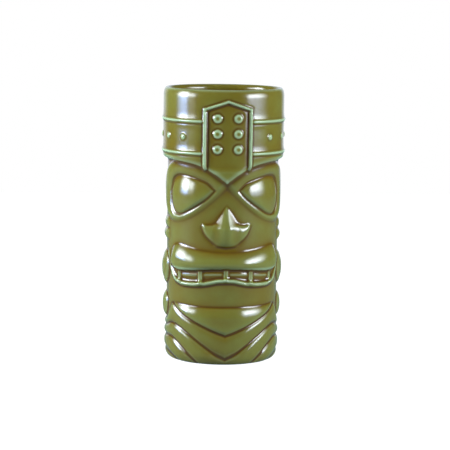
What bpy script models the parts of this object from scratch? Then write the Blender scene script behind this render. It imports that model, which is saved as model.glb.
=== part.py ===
"""Tiki mug: a turned hollow vessel with a modelled face, headdress and beard.

Units are metres and degrees, +Z is up, and the mug stands on z = 0.
The face looks along -Y. An angle of 0 is the middle of the face, and
positive angles go round towards +X, so the ears are at +90 and -90.
"""

import math

import bmesh
import bpy
from mathutils import Matrix, Vector

# Driving dimensions
HEIGHT = 0.167
RIM_RADIUS = 0.0372
CROWN_RADIUS = 0.0366       # the headdress band that carries hoops and studs
FACE_RADIUS = 0.0336        # the wall behind the face and beard
FOOT_RADIUS = 0.0307        # where the base meets the table
WALL = 0.0040
FLOOR = 0.0055
BROW_LEDGE = 0.1230         # height where the headdress steps out from the face
RELIEF_RADIUS = 0.0380      # the furthest reach of hoops and frame
GAP = 0.0003                # clearance between neighbouring pieces

# Headdress
HOOP_HEIGHTS = (0.1288, 0.1481)
HOOP_THICKNESS = 0.00055
HOOP_START = 24.6           # degrees from the front, just outside the plaque
STUD_PITCH = 22.5
STUD_COUNT = 13
STUD_RADIUS = 0.00175
PLAQUE_STUD_RADIUS = 0.0027
PLAQUE_STUD_ANGLE = 9.8
PLAQUE_STUD_HEIGHTS = (0.1315, 0.1408, 0.1500)
FRAME_OUTER = 23.8
FRAME_INNER = 19.6
PLAQUE_FOOT = 0.1203
PLAQUE_SHOULDER = 0.1558
PLAQUE_PEAK = 0.1606
FRAME_RAIL = 0.0016

# Mouth
TOOTH_ANGLES = (-52.5, -26.5, 0.0, 26.5, 52.5)
TOOTH_HALF_WIDTH = 2.3
TOOTH_LOW = 0.0533
TOOTH_HIGH = 0.0586
TOOTH_BAR_LOW = 0.0543
TOOTH_BAR_HIGH = 0.0569

# Ears
EAR_ANGLE = 90.0
EAR_DISC_HEIGHT = 0.0565
EAR_DISC_RADIUS = 0.0105
LOBE_DISC_HEIGHT = 0.0335
LOBE_DISC_RADIUS = 0.0078
EAR_FOLD_HEIGHTS = (0.0775, 0.0845)
EAR_FOLD_HALF_HEIGHT = 0.0029
EAR_FOLD_HALF_SPAN = 17.0

# Mesh fineness
TURNED_STEPS = 48
HOOP_STEPS = 39
SLICE_ANGLE = 9.0
DOME_SLICE = 0.0060

GLAZES = {
    "olive": ((0.165, 0.180, 0.045, 1.0), 0.16),
    "pale": ((0.330, 0.450, 0.210, 1.0), 0.18),
    "deep": ((0.095, 0.085, 0.018, 1.0), 0.16),
}


def metres(points):
    """Turn (degrees, millimetres) outline points into (degrees, metres)."""
    return [(angle, height * 0.001) for angle, height in points]


# Outlines on the unrolled wall, as (degrees from the front, height in mm)
EYE = metres([
    (12.3, 106.5), (20, 110.8), (30, 113.0), (40, 114.5), (50, 115.3), (58, 114.6),
    (63, 112.0), (66, 107.0), (66, 101.0), (64, 95.5), (60, 92.2), (54, 91.1),
    (46, 92.0), (38, 94.5), (29, 97.8), (20, 101.8),
])
EYE_SURROUND = metres([
    (2.2, 107.6), (10, 112.0), (20, 116.2), (30, 118.8), (42, 120.4), (58, 121.3),
    (70, 120.6), (78, 117.5), (83, 111.0), (84, 103.0), (82, 95.0), (76, 89.2),
    (68, 86.8), (60, 86.3), (50, 87.3), (40, 89.4), (30, 92.6), (20, 97.0),
    (10, 102.6), (2.2, 106.8),
])
BROW_EDGE = metres([
    (-28, 120.8), (-20, 118.8), (-10, 114.9), (0, 110.3), (10, 114.9), (20, 118.8),
    (28, 120.8),
])
NOSE_BRIDGE = metres([(0, 98.8), (12.5, 85.0), (0, 83.6), (-12.5, 85.0)])
NOSTRILS = metres([
    (-24.5, 84.6), (-18.5, 85.0), (-13, 83.6), (0, 82.4), (13, 83.6), (18.5, 85.0),
    (24.5, 84.6), (22, 81.4), (17, 77.8), (9, 73.8), (0, 72.3), (-9, 73.8),
    (-17, 77.8), (-22, 81.4),
])
UPPER_LIP_TOP = metres([
    (0, 68.6), (15, 69.1), (30, 70.5), (45, 71.7), (56, 71.8), (63, 69.4), (68.5, 64.6),
])
UPPER_LIP_LOW = metres([(0, 59.8), (15, 59.7), (30, 59.4), (45, 59.1), (60, 59.3), (66, 60.2)])
LOWER_LIP = metres([
    (0, 51.7), (15, 51.3), (27, 50.5), (40, 50.0), (51, 50.3), (60, 52.0),
    (66.5, 55.6), (71.5, 60.6), (73.2, 64.5),
])
LOWER_LIP_HALF_WIDTH = 0.0010
CHIN_TOP = metres([(0, 34.8), (30, 35.1), (50, 35.7), (57, 35.8)])
CHIN_CREASE = metres([(0, 18.6), (10, 20.8), (30, 25.8), (50, 31.0), (57, 33.2)])
BEARD_TOP = metres([
    (0, 18.0), (10, 20.2), (30, 25.2), (50, 30.4), (61, 33.9), (66, 34.8), (70, 33.0),
    (74, 28.6), (80, 25.3), (90, 24.4), (110, 24.6), (140, 26.0), (179.5, 26.0),
])
BEARD_CREASE = metres([
    (0, 4.4), (10, 7.2), (20, 11.0), (30, 15.0), (40, 18.7), (50, 21.7), (60, 23.4),
    (68, 23.5), (76, 22.2), (90, 20.6), (110, 19.6), (140, 19.4), (179.5, 19.4),
])
LOWER_CREASE = metres([
    (35, 3.2), (42, 6.5), (50, 10.2), (60, 13.5), (68, 14.8), (80, 14.8), (90, 14.4),
    (120, 13.0), (179.5, 12.6),
])
FOOT_CREASE = metres([
    (42, 3.2), (58, 3.4), (68, 4.4), (78, 5.9), (90, 6.4), (120, 6.2), (179.5, 6.0),
])


def clear_scene():
    for old in list(bpy.data.objects):
        bpy.data.objects.remove(old, do_unlink=True)


def new_collection(name):
    collection = bpy.data.collections.new(name)
    bpy.context.scene.collection.children.link(collection)
    return collection


def glaze_material(name, glaze):
    colour, roughness = GLAZES[glaze]
    material = bpy.data.materials.new(name + "_glaze")
    material.use_nodes = True
    shader = material.node_tree.nodes["Principled BSDF"]
    shader.inputs["Base Color"].default_value = colour
    shader.inputs["Roughness"].default_value = roughness
    shader.inputs["Metallic"].default_value = 0.0
    material.diffuse_color = colour
    return material


def add_object(collection, root, name, mesh, glaze, smooth_below=40.0):
    """Put a mesh in the mug's collection under its root, with its own glaze."""
    mesh.name = name
    part = bpy.data.objects.new(name, mesh)
    part.data.materials.append(glaze_material(name, glaze))
    mesh.shade_smooth()
    mesh.set_sharp_from_angle(angle=math.radians(smooth_below))
    part.parent = root
    collection.objects.link(part)
    return part


def on_wall(angle, radius, height):
    """The point at an angle from the front, a radius and a height."""
    turn = math.radians(angle)
    return Vector((radius * math.sin(turn), -radius * math.cos(turn), height))


def wall_radius(height):
    """Outer radius of the plain vessel wall behind the relief."""
    if height > BROW_LEDGE:
        return CROWN_RADIUS
    return FACE_RADIUS


def arc(centre_r, centre_z, radius, start, end, steps):
    """Points (r, z) on a circular arc, angles in degrees from outward."""
    points = []
    for i in range(steps + 1):
        turn = math.radians(start + (end - start) * i / steps)
        points.append((centre_r + radius * math.cos(turn), centre_z + radius * math.sin(turn)))
    return points


def vessel_profile():
    """(r, z) points from the middle of the floor inside, over the rim, to the base."""
    inner_low = FACE_RADIUS - WALL
    inner_high = CROWN_RADIUS - WALL + 0.0004
    floor_round = 0.009
    rim_round = (RIM_RADIUS - inner_high) / 2
    foot_round = FACE_RADIUS - FOOT_RADIUS
    profile = [(0.0, FLOOR)]
    profile += arc(inner_low - floor_round, FLOOR + floor_round, floor_round, -90, 0, 4)
    profile += [(inner_low, BROW_LEDGE - 0.006), (inner_high, BROW_LEDGE + 0.004)]
    profile += arc(RIM_RADIUS - rim_round, HEIGHT - rim_round, rim_round, 180, 0, 6)
    profile += [(RIM_RADIUS, HEIGHT - 0.0050), (CROWN_RADIUS, HEIGHT - 0.0060)]
    profile += [(CROWN_RADIUS, BROW_LEDGE), (FACE_RADIUS, BROW_LEDGE)]
    profile += arc(FACE_RADIUS - foot_round, foot_round, foot_round, 0, -90, 4)
    profile += [(FOOT_RADIUS - 0.004, 0.0), (FOOT_RADIUS - 0.0055, 0.0012), (0.0, 0.0012)]
    return profile


def turned_mesh(profile):
    """Revolve an (r, z) profile with a Screw modifier and return the mesh."""
    bm = bmesh.new()
    verts = [bm.verts.new((r, 0.0, z)) for r, z in profile]
    for first, second in zip(verts, verts[1:]):
        bm.edges.new((first, second))
    line = bpy.data.meshes.new("profile")
    bm.to_mesh(line)
    bm.free()
    spun = bpy.data.objects.new("profile", line)
    bpy.context.scene.collection.objects.link(spun)
    screw = spun.modifiers.new("turn", "SCREW")
    screw.steps = TURNED_STEPS
    screw.render_steps = TURNED_STEPS
    screw.use_merge_vertices = True
    screw.merge_threshold = 0.00001
    return take_mesh(spun)


def take_mesh(source):
    """The evaluated mesh of a helper object, welded, after the helper is removed."""
    bpy.context.view_layer.update()
    graph = bpy.context.evaluated_depsgraph_get()
    mesh = bpy.data.meshes.new_from_object(source.evaluated_get(graph))
    bpy.data.objects.remove(source, do_unlink=True)
    bm = bmesh.new()
    bm.from_mesh(mesh)
    bmesh.ops.remove_doubles(bm, verts=bm.verts, dist=0.000005)
    bm.to_mesh(mesh)
    bm.free()
    mesh.materials.clear()
    return mesh


def plate_mesh(outlines, thickness, edge_round):
    """A flat plate with rounded edges from closed outlines in metres."""
    flat = bpy.data.curves.new("plate", "CURVE")
    flat.dimensions = "2D"
    flat.fill_mode = "BOTH"
    flat.extrude = thickness / 2 - edge_round
    flat.bevel_depth = edge_round
    flat.bevel_resolution = 0
    flat.offset = -edge_round
    for outline in outlines:
        spline = flat.splines.new("POLY")
        spline.points.add(len(outline) - 1)
        for point, (across, up) in zip(spline.points, outline):
            point.co = (across, up, 0.0, 1.0)
        spline.use_cyclic_u = True
    holder = bpy.data.objects.new("plate", flat)
    bpy.context.scene.collection.objects.link(holder)
    return take_mesh(holder)


def slice_mesh(bm, axis, pitch):
    """Cut a mesh with evenly spaced planes across one axis."""
    low = min(vert.co[axis] for vert in bm.verts)
    high = max(vert.co[axis] for vert in bm.verts)
    normal = Vector((0, 0, 0))
    normal[axis] = 1.0
    for step in range(math.ceil(low / pitch), math.floor(high / pitch) + 1):
        geometry = bm.verts[:] + bm.edges[:] + bm.faces[:]
        bmesh.ops.bisect_plane(bm, geom=geometry, plane_co=normal * (step * pitch),
                               plane_no=normal, dist=0.00002)


def sprig_mesh(outlines, thickness, edge_round=None, swell=None, base_radius=FACE_RADIUS):
    """A plate of clay bent round the wall, a gap off it.

    Outlines are lists of (degrees, metres). Edges are rounded over the full
    thickness unless edge_round is given. swell gives the extra height of the
    outer face at (degrees, metres), for domes and ridges.
    """
    if edge_round is None:
        edge_round = thickness / 2
    arc_per_degree = math.radians(base_radius)
    flat = [[(angle * arc_per_degree, up) for angle, up in line] for line in outlines]
    mesh = plate_mesh(flat, thickness, edge_round)
    bm = bmesh.new()
    bm.from_mesh(mesh)
    slice_mesh(bm, 0, SLICE_ANGLE * arc_per_degree)
    if swell:
        slice_mesh(bm, 1, DOME_SLICE)
    for vert in bm.verts:
        angle = vert.co.x / arc_per_degree
        height = vert.co.y
        depth = vert.co.z + thickness / 2
        if swell:
            depth += swell(angle, height) * max(0.0, depth / thickness)
        vert.co = on_wall(angle, base_radius + GAP + depth, height)
    bmesh.ops.remove_doubles(bm, verts=bm.verts, dist=0.000005)
    bm.to_mesh(mesh)
    bm.free()
    return mesh


def mirrored(points):
    """An edge given from the middle to one side, continued to the other side."""
    left = [(-angle, height) for angle, height in reversed(points) if angle > 0]
    return left + points


def swapped(points):
    """The same outline on the other side of the face."""
    return [(-angle, height) for angle, height in reversed(points)]


def between(top, low):
    """A closed outline from an upper edge and a lower edge, both left to right."""
    return top + list(reversed(low))


def lowered(points, drop=2 * GAP):
    return [(angle, height - drop) for angle, height in points]


def outset(points, amount):
    """Push a closed outline away from its middle, in metres."""
    arc_per_degree = math.radians(FACE_RADIUS)
    middle_angle = sum(angle for angle, _ in points) / len(points)
    middle_height = sum(height for _, height in points) / len(points)
    pushed = []
    for angle, height in points:
        away = Vector(((angle - middle_angle) * arc_per_degree, height - middle_height))
        shift = away.normalized() * amount
        pushed.append((angle + shift.x / arc_per_degree, height + shift.y))
    return pushed


def ribbon(middle_line, half_width):
    """A closed outline around an open line, at a constant half width."""
    arc_per_degree = math.radians(FACE_RADIUS)
    flat = [Vector((angle * arc_per_degree, height)) for angle, height in middle_line]
    upper = []
    lower = []
    for i, point in enumerate(flat):
        before = flat[max(i - 1, 0)]
        after = flat[min(i + 1, len(flat) - 1)]
        along = (after - before).normalized()
        across = Vector((-along.y, along.x)) * half_width
        upper.append(((point.x + across.x) / arc_per_degree, point.y + across.y))
        lower.append(((point.x - across.x) / arc_per_degree, point.y - across.y))
    return between(upper, lower)


def ring_outline(angle, height, radius, steps=18):
    arc_per_degree = math.radians(FACE_RADIUS)
    points = []
    for i in range(steps):
        turn = 2 * math.pi * i / steps
        across = radius * math.sin(turn) / arc_per_degree
        points.append((angle + across, height + radius * math.cos(turn)))
    return points


def box_outline(left, right, low, high):
    return [(left, high), (right, high), (right, low), (left, low)]


def dome(centre_angle, centre_height, half_angle, half_height, rise):
    """A swell that is highest in the middle and dies out at the edge."""
    def swell(angle, height):
        across = (angle - centre_angle) / half_angle
        up = (height - centre_height) / half_height
        return rise * max(0.0, 1.0 - across * across - up * up)
    return swell


def nose_ridge(angle, height):
    """The nose stands out along its middle and most at its tip."""
    down = (0.0988 - height) / 0.0152
    side = abs(angle) / max(12.5 * down, 0.5)
    return 0.0030 * max(0.0, min(down, 1.0)) * max(0.0, 1.0 - side)


def stud_mesh(angle, height, radius, base_radius, half_depth):
    """A flattened button whose axis points straight out from the wall."""
    bm = bmesh.new()
    bmesh.ops.create_uvsphere(bm, u_segments=10, v_segments=4, radius=1.0)
    turn = Matrix.Rotation(math.radians(angle), 4, "Z") @ Matrix.Rotation(math.radians(90), 4, "X")
    place = Matrix.Translation(on_wall(angle, base_radius + GAP + half_depth, height))
    size = Matrix.Diagonal((radius, radius, half_depth, 1.0))
    bmesh.ops.transform(bm, matrix=place @ turn @ size, verts=bm.verts)
    mesh = bpy.data.meshes.new("stud")
    bm.to_mesh(mesh)
    bm.free()
    return mesh


def hoop_mesh(height):
    """A thin clay cord round the headdress, open in front for the plaque."""
    cord = bpy.data.curves.new("hoop", "CURVE")
    cord.dimensions = "3D"
    cord.bevel_depth = HOOP_THICKNESS
    cord.bevel_resolution = 1
    cord.use_fill_caps = True
    spline = cord.splines.new("POLY")
    spline.points.add(HOOP_STEPS)
    for i, point in enumerate(spline.points):
        angle = HOOP_START + (360 - 2 * HOOP_START) * i / HOOP_STEPS
        point.co = (*on_wall(angle, RELIEF_RADIUS - HOOP_THICKNESS, height), 1.0)
    holder = bpy.data.objects.new("hoop", cord)
    bpy.context.scene.collection.objects.link(holder)
    return take_mesh(holder)


def build_headdress(add):
    for name, height in zip(("lower_hoop", "upper_hoop"), HOOP_HEIGHTS):
        add(name, hoop_mesh(height), "pale")
    stud_height = sum(HOOP_HEIGHTS) / 2
    stud_depth = (RELIEF_RADIUS - CROWN_RADIUS - GAP) / 2
    for i in range(STUD_COUNT):
        angle = 2 * STUD_PITCH + i * STUD_PITCH
        mesh = stud_mesh(angle, stud_height, STUD_RADIUS, CROWN_RADIUS, stud_depth)
        add(f"band_stud_{i + 1:02d}", mesh, "pale")
    brow_end = BROW_EDGE[-1][0]
    brow = between([(-brow_end, BROW_LEDGE - GAP), (brow_end, BROW_LEDGE - GAP)], BROW_EDGE)
    depth = CROWN_RADIUS - FACE_RADIUS - GAP
    add("brow_shield", sprig_mesh([brow], depth, edge_round=0.0006), "olive")


def build_plaque(add):
    panel_depth = 0.0005
    inner = FRAME_INNER - 0.6
    panel = [
        (-inner, PLAQUE_FOOT), (-inner, PLAQUE_SHOULDER - FRAME_RAIL - 0.0006),
        (0, PLAQUE_PEAK - FRAME_RAIL - 0.0006),
        (inner, PLAQUE_SHOULDER - FRAME_RAIL - 0.0006), (inner, PLAQUE_FOOT),
    ]
    add("forehead_plaque",
        sprig_mesh([panel], panel_depth, edge_round=0.0001, base_radius=CROWN_RADIUS), "deep")
    frame = [
        (-FRAME_OUTER, PLAQUE_FOOT), (-FRAME_OUTER, PLAQUE_SHOULDER), (0, PLAQUE_PEAK),
        (FRAME_OUTER, PLAQUE_SHOULDER), (FRAME_OUTER, PLAQUE_FOOT),
        (FRAME_INNER, PLAQUE_FOOT), (FRAME_INNER, PLAQUE_SHOULDER - FRAME_RAIL),
        (0, PLAQUE_PEAK - FRAME_RAIL),
        (-FRAME_INNER, PLAQUE_SHOULDER - FRAME_RAIL), (-FRAME_INNER, PLAQUE_FOOT),
    ]
    frame_depth = RELIEF_RADIUS - CROWN_RADIUS - GAP
    add("plaque_frame",
        sprig_mesh([frame], frame_depth, edge_round=0.0003, base_radius=CROWN_RADIUS), "pale")
    stud_base = CROWN_RADIUS + GAP + panel_depth
    rows = zip(("low", "middle", "high"), PLAQUE_STUD_HEIGHTS)
    for row, height in rows:
        for side, angle in (("left", -PLAQUE_STUD_ANGLE), ("right", PLAQUE_STUD_ANGLE)):
            mesh = stud_mesh(angle, height, PLAQUE_STUD_RADIUS, stud_base, 0.0004)
            add(f"plaque_stud_{row}_{side}", mesh, "olive")


def build_eyes(add):
    for side, flip in (("right", 1), ("left", -1)):
        eye = EYE if flip == 1 else swapped(EYE)
        surround = EYE_SURROUND if flip == 1 else swapped(EYE_SURROUND)
        swell = dome(flip * 42.0, 0.1032, 30.0, 0.0125, 0.0014)
        add(f"eye_{side}", sprig_mesh([eye], 0.0009, swell=swell), "olive")
        hole = outset(eye, 2.5 * GAP)
        add(f"eye_surround_{side}", sprig_mesh([surround, hole], 0.0017), "olive")


def build_nose(add):
    add("nose_bridge", sprig_mesh([NOSE_BRIDGE], 0.0009, swell=nose_ridge), "olive")
    low = lowered(NOSTRILS, 0.0012)
    swell = dome(0, 0.0790, 24.0, 0.0080, 0.0012)
    add("nostril_wings", sprig_mesh([low], 0.0012, swell=swell), "olive")


def build_mouth(add):
    upper = between(mirrored(UPPER_LIP_TOP), mirrored(UPPER_LIP_LOW))
    add("upper_lip", sprig_mesh([upper], 0.0026), "olive")
    lower = ribbon(mirrored(LOWER_LIP), LOWER_LIP_HALF_WIDTH)
    add("lower_lip", sprig_mesh([lower], 0.0018), "pale")
    for i, angle in enumerate(TOOTH_ANGLES):
        post = box_outline(angle - TOOTH_HALF_WIDTH, angle + TOOTH_HALF_WIDTH,
                           TOOTH_LOW, TOOTH_HIGH)
        add(f"tooth_post_{i + 1}", sprig_mesh([post], 0.0014), "pale")
    reach = TOOTH_HALF_WIDTH + 0.7
    for i, (left, right) in enumerate(zip(TOOTH_ANGLES, TOOTH_ANGLES[1:])):
        bar = box_outline(left + reach, right - reach, TOOTH_BAR_LOW, TOOTH_BAR_HIGH)
        add(f"tooth_bar_{i + 1}", sprig_mesh([bar], 0.0009), "pale")


def build_ears(add):
    for side, angle in (("right", EAR_ANGLE), ("left", -EAR_ANGLE)):
        for name, height, radius, rise in (
                ("ear_disc", EAR_DISC_HEIGHT, EAR_DISC_RADIUS, 0.0018),
                ("lobe_disc", LOBE_DISC_HEIGHT, LOBE_DISC_RADIUS, 0.0013)):
            half_angle = math.degrees(radius / FACE_RADIUS)
            swell = dome(angle, height, half_angle, radius, rise)
            outline = ring_outline(angle, height, radius)
            add(f"{name}_{side}", sprig_mesh([outline], 0.0013, swell=swell), "olive")
        for name, height in zip(("ear_fold_lower", "ear_fold_upper"), EAR_FOLD_HEIGHTS):
            left = angle - EAR_FOLD_HALF_SPAN
            right = angle + EAR_FOLD_HALF_SPAN
            low = height - EAR_FOLD_HALF_HEIGHT
            high = height + EAR_FOLD_HALF_HEIGHT
            outline = [
                (left, height), (left + 4, high), (right - 4, high),
                (right, height), (right - 4, low), (left + 4, low),
            ]
            add(f"{name}_{side}", sprig_mesh([outline], 0.0016), "olive")


def build_beard(add):
    chin = between(mirrored(CHIN_TOP), mirrored(CHIN_CREASE))
    add("chin_shield", sprig_mesh([chin], 0.0022), "olive")
    upper = between(mirrored(lowered(BEARD_TOP)), mirrored(BEARD_CREASE))
    add("beard_band_upper", sprig_mesh([upper], 0.0021), "olive")
    # The middle bands start beside the upper band's point and the foot
    start = [(7.0, 0.0055), (7.0, 0.0034)]
    middle_top = [point for point in lowered(BEARD_CREASE) if point[0] > 9]
    middle = [start[0]] + middle_top + list(reversed(LOWER_CREASE)) + [start[1]]
    lower = between(lowered(LOWER_CREASE)[1:], FOOT_CREASE)
    for side, place in (("right", list), ("left", swapped)):
        add(f"beard_band_middle_{side}",
            sprig_mesh([place(middle)], 0.0022), "olive")
        add(f"beard_band_lower_{side}",
            sprig_mesh([place(lower)], 0.0022), "olive")


def main():
    clear_scene()
    collection = new_collection("tiki_mug")
    root = bpy.data.objects.new("mug_root", None)
    collection.objects.link(root)

    def add(name, mesh, glaze):
        return add_object(collection, root, name, mesh, glaze)

    add("vessel", turned_mesh(vessel_profile()), "olive")
    build_headdress(add)
    build_plaque(add)
    build_eyes(add)
    build_nose(add)
    build_mouth(add)
    build_ears(add)
    build_beard(add)


main()
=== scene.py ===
import math
import bpy
import numpy as np
from mathutils import Matrix, Vector


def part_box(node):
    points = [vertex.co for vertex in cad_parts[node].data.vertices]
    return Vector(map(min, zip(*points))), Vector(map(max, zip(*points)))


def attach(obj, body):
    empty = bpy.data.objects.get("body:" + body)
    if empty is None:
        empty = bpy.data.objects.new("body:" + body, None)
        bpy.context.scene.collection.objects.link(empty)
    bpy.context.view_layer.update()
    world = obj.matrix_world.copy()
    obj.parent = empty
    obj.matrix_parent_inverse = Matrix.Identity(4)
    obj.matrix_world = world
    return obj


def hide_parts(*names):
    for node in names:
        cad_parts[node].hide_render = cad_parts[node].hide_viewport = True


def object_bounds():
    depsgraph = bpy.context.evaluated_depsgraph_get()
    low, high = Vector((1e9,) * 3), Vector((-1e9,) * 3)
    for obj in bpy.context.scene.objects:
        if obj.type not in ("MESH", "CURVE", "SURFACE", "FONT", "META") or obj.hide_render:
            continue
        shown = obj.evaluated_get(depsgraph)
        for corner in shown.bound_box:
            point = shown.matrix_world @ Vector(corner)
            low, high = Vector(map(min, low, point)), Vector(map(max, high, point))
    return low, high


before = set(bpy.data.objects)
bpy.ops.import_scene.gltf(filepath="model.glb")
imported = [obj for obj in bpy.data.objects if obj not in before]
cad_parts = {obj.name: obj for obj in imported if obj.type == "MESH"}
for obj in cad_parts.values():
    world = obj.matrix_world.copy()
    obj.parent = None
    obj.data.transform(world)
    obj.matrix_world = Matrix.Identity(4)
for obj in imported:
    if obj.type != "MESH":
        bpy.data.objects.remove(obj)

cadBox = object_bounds()
print("frame loaded:", len(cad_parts), "nodes")
mmPerMetre = 1000.0

# The wall is shaped unrolled, in millimetres: along is the way round from the
# middle of the face, up is the height above the table. Both halves are alike,
# so one half is worked out and laid on both sides.
mug = {
    "faceRadius": 34.0,        # plain wall behind the face and beard
    "crownRadius": 37.0,       # headdress band
    "floor": 5.5,
    "footRadius": 30.7,
    "footCurl": 7.5,           # how high the foot curls up
    "curlSteps": 20,
    "height": cadBox[1][2] * mmPerMetre,
    "halfColumns": 320,        # steps round one half of the mug
    "rowPitch": 0.36,
    "rimStart": 161.8,         # where the wall begins to round over into the rim
    "claySoftness": 0.30,      # rounding of the clay, which decides where the glaze gathers
    "headdressSoftness": 0.32,  # rounding that is seen, glaze included
    "faceSoftness": 0.66,
    "unrolledRadius": 36.0,    # where a degree round the mug is turned into millimetres
}
mmPerDegree = math.radians(mug["unrolledRadius"])

tableCamera = {
    "eye": (-0.0855, -1.1373, 0.2288),  # where the camera stands, in metres
    "aim": (0.0017, -0.0001, 0.0817),   # the spot it looks at, about half way up the mug
    "lens": 148.7,
    "sensor": 36.0,
    "nearest": 0.05,           # nothing closer than this is drawn
    "lean": 0.8,               # degrees the camera is tipped sideways
}


def placeCamera():
    eye = Vector(tableCamera["eye"])
    forward = (Vector(tableCamera["aim"]) - eye).normalized()
    right = forward.cross(Vector((0, 0, 1))).normalized()
    upward = right.cross(forward)
    tip = math.radians(tableCamera["lean"])
    tippedRight = right * math.cos(tip) + upward * math.sin(tip)
    tippedUp = upward * math.cos(tip) - right * math.sin(tip)
    lensData = bpy.data.cameras.new("tableCamera")
    lensData.lens = tableCamera["lens"]
    lensData.sensor_width = tableCamera["sensor"]
    lensData.clip_start = tableCamera["nearest"]
    camera = bpy.data.objects.new("tableCamera", lensData)
    bpy.context.scene.collection.objects.link(camera)
    axes = Matrix((tippedRight, tippedUp, -forward)).transposed()
    camera.matrix_world = Matrix.Translation(eye) @ axes.to_4x4()
    bpy.context.scene.camera = camera


placeCamera()
print("camera placed")


def wallHeights():
    rows = []
    for i in range(mug["curlSteps"]):
        turn = math.pi / 2 * i / mug["curlSteps"]
        rows.append(mug["footCurl"] * (1 - math.cos(turn)))
    return rows + list(np.arange(mug["footCurl"], mug["rimStart"], mug["rowPitch"]))


heights = np.array(wallHeights())
angles = np.linspace(0.0, 180.0, mug["halfColumns"] + 1)
along, up = np.meshgrid(angles * mmPerDegree, heights)
degrees = along / mmPerDegree


def nodeMiddle(node):
    low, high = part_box(node)
    return [(a + b) / 2 * mmPerMetre for a, b in zip(low, high)]


def nodeAngle(node):
    x, y = nodeMiddle(node)[:2]
    return abs(math.degrees(math.atan2(x, -y)))


def smoothLine(points, perSpan=6):
    # a soft curve through points of (degrees, height), back as (along, up)
    knots = [np.array((angle * mmPerDegree, height)) for angle, height in points]
    knots = [2 * knots[0] - knots[1]] + knots + [2 * knots[-1] - knots[-2]]
    line = []
    for a, b, c, d in zip(knots, knots[1:], knots[2:], knots[3:]):
        for i in range(perSpan):
            t = i / perSpan
            line.append(0.5 * (2 * b + (c - a) * t + (2 * a - 5 * b + 4 * c - d) * t * t
                               + (3 * b - a - 3 * c + d) * t * t * t))
    line.append(knots[-2])
    return np.array(line)


def straightLine(points):
    return np.array([(angle * mmPerDegree, height) for angle, height in points])


def distanceTo(line, reach=16.0):
    # shortest way from every spot of the half wall to a line, capped at reach
    away = np.full(along.shape, reach)
    low = line.min(axis=0) - reach
    high = line.max(axis=0) + reach
    near = (along >= low[0]) & (along <= high[0]) & (up >= low[1]) & (up <= high[1])
    x = along[near]
    y = up[near]
    best = np.full(x.shape, reach * reach)
    for (ax, ay), (bx, by) in zip(line, line[1:]):
        dx = bx - ax
        dy = by - ay
        span = max(dx * dx + dy * dy, 1e-9)
        t = np.clip(((x - ax) * dx + (y - ay) * dy) / span, 0.0, 1.0)
        best = np.minimum(best, (x - ax - t * dx) ** 2 + (y - ay - t * dy) ** 2)
    away[near] = np.sqrt(best)
    return away


def insideOf(outline):
    # which spots of the half wall lie inside a closed outline
    inside = np.zeros(along.shape, dtype=bool)
    ends = np.roll(outline, -1, axis=0)
    for (ax, ay), (bx, by) in zip(outline, ends):
        if ay == by:
            continue
        crosses = (ay > up) != (by > up)
        inside ^= crosses & (along < (bx - ax) * (up - ay) / (by - ay) + ax)
    return inside


def softStep(t):
    t = np.clip(t, 0.0, 1.0)
    return t * t * (3 - 2 * t)


def roundOver(t):
    # a quarter round: rises at once from 0 and is level at 1
    t = np.clip(t, 0.0, 1.0)
    return np.sqrt(np.maximum(1.0 - (1.0 - t) ** 2, 0.0))


def ridge(away, height, width):
    # a soft ridge along a line, down to about a third of its height at this width
    return height * np.exp(-(away / width) ** 2)


def roll(top, low, height, fullWidth, fullness=0.5):
    # a roll of clay between a top line and a low line, thinner where they close up
    softEdge = 0.03
    thinning = 0.7
    fromTop = distanceTo(top)
    fromLow = distanceTo(low)
    inside = insideOf(np.vstack([top, low[::-1]]))
    width = fromTop + fromLow + 1e-6
    across = 4 * fromTop * fromLow / width ** 2
    swell = (across + softEdge) ** fullness - softEdge ** fullness
    thin = np.clip(width / fullWidth, 0.0, 1.0) ** thinning
    return np.where(inside, height * swell * thin, 0.0), inside


def bulge(top, low, rise, topSpan, lowSpan):
    # a swelling that sweeps out below its top line and turns in above its low line
    inside = insideOf(np.vstack([top, low[::-1]]))
    down = np.clip(distanceTo(top) / topSpan, 0.0, 1.0)
    out = down * (2 - down) * roundOver(distanceTo(low) / lowSpan)
    return np.where(inside, rise * out, 0.0)


def disc(angle, height, radius, rise, fullness=0.5):
    # a domed button, and how far every spot is from its middle
    softEdge = 0.02
    away = np.hypot(along - angle * mmPerDegree, up - height) / radius
    swell = (np.clip(1 - away ** 2, 0, 1) + softEdge) ** fullness - softEdge ** fullness
    return rise * swell, away * radius


def blurred(field, spread):
    # soften the half wall; the middle of the face and of the back are mirrors
    columnPitch = 180.0 * mmPerDegree / mug["halfColumns"]
    field = blurredOneWay(field, spread / columnPitch, 1, "reflect")
    return blurredOneWay(field, spread / mug["rowPitch"], 0, "edge")


def blurredOneWay(field, spread, axis, edge):
    bellReach = 2.6            # the bell curve is cut off here
    reach = max(1, int(math.ceil(spread * bellReach)))
    pad = [(0, 0), (0, 0)]
    pad[axis] = (reach, reach)
    padded = np.pad(field, pad, mode=edge)
    steps = np.arange(-reach, reach + 1)
    weights = np.exp(-0.5 * (steps / spread) ** 2)
    weights /= weights.sum()
    out = np.zeros_like(field)
    for step, weight in zip(steps, weights):
        cut = [slice(None), slice(None)]
        cut[axis] = slice(reach + step, reach + step + field.shape[axis])
        out += weight * padded[tuple(cut)]
    return out


# headdress: crown band, hoops, studs and plaque

brow = {
    "edge": [(0, 110.6), (5, 112.9), (10, 115.2), (20, 119.0), (30, 121.4), (45, 122.9),
             (60, 123.4), (90, 123.6), (186, 123.6)],
    "roundness": 2.8,
    "crease": 0.16,
    "creaseWidth": 1.2,
    "poolBelow": 0.9,          # dark glaze lies this far under the edge
    "pool": 0.9,
    "poolWidth": 1.5,
    "crispEdge": 0.8,          # above the edge small forms stay crisp; this blends the border
    "crispFrom": 0.3,
    "crispOver": 0.4,
}


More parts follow.
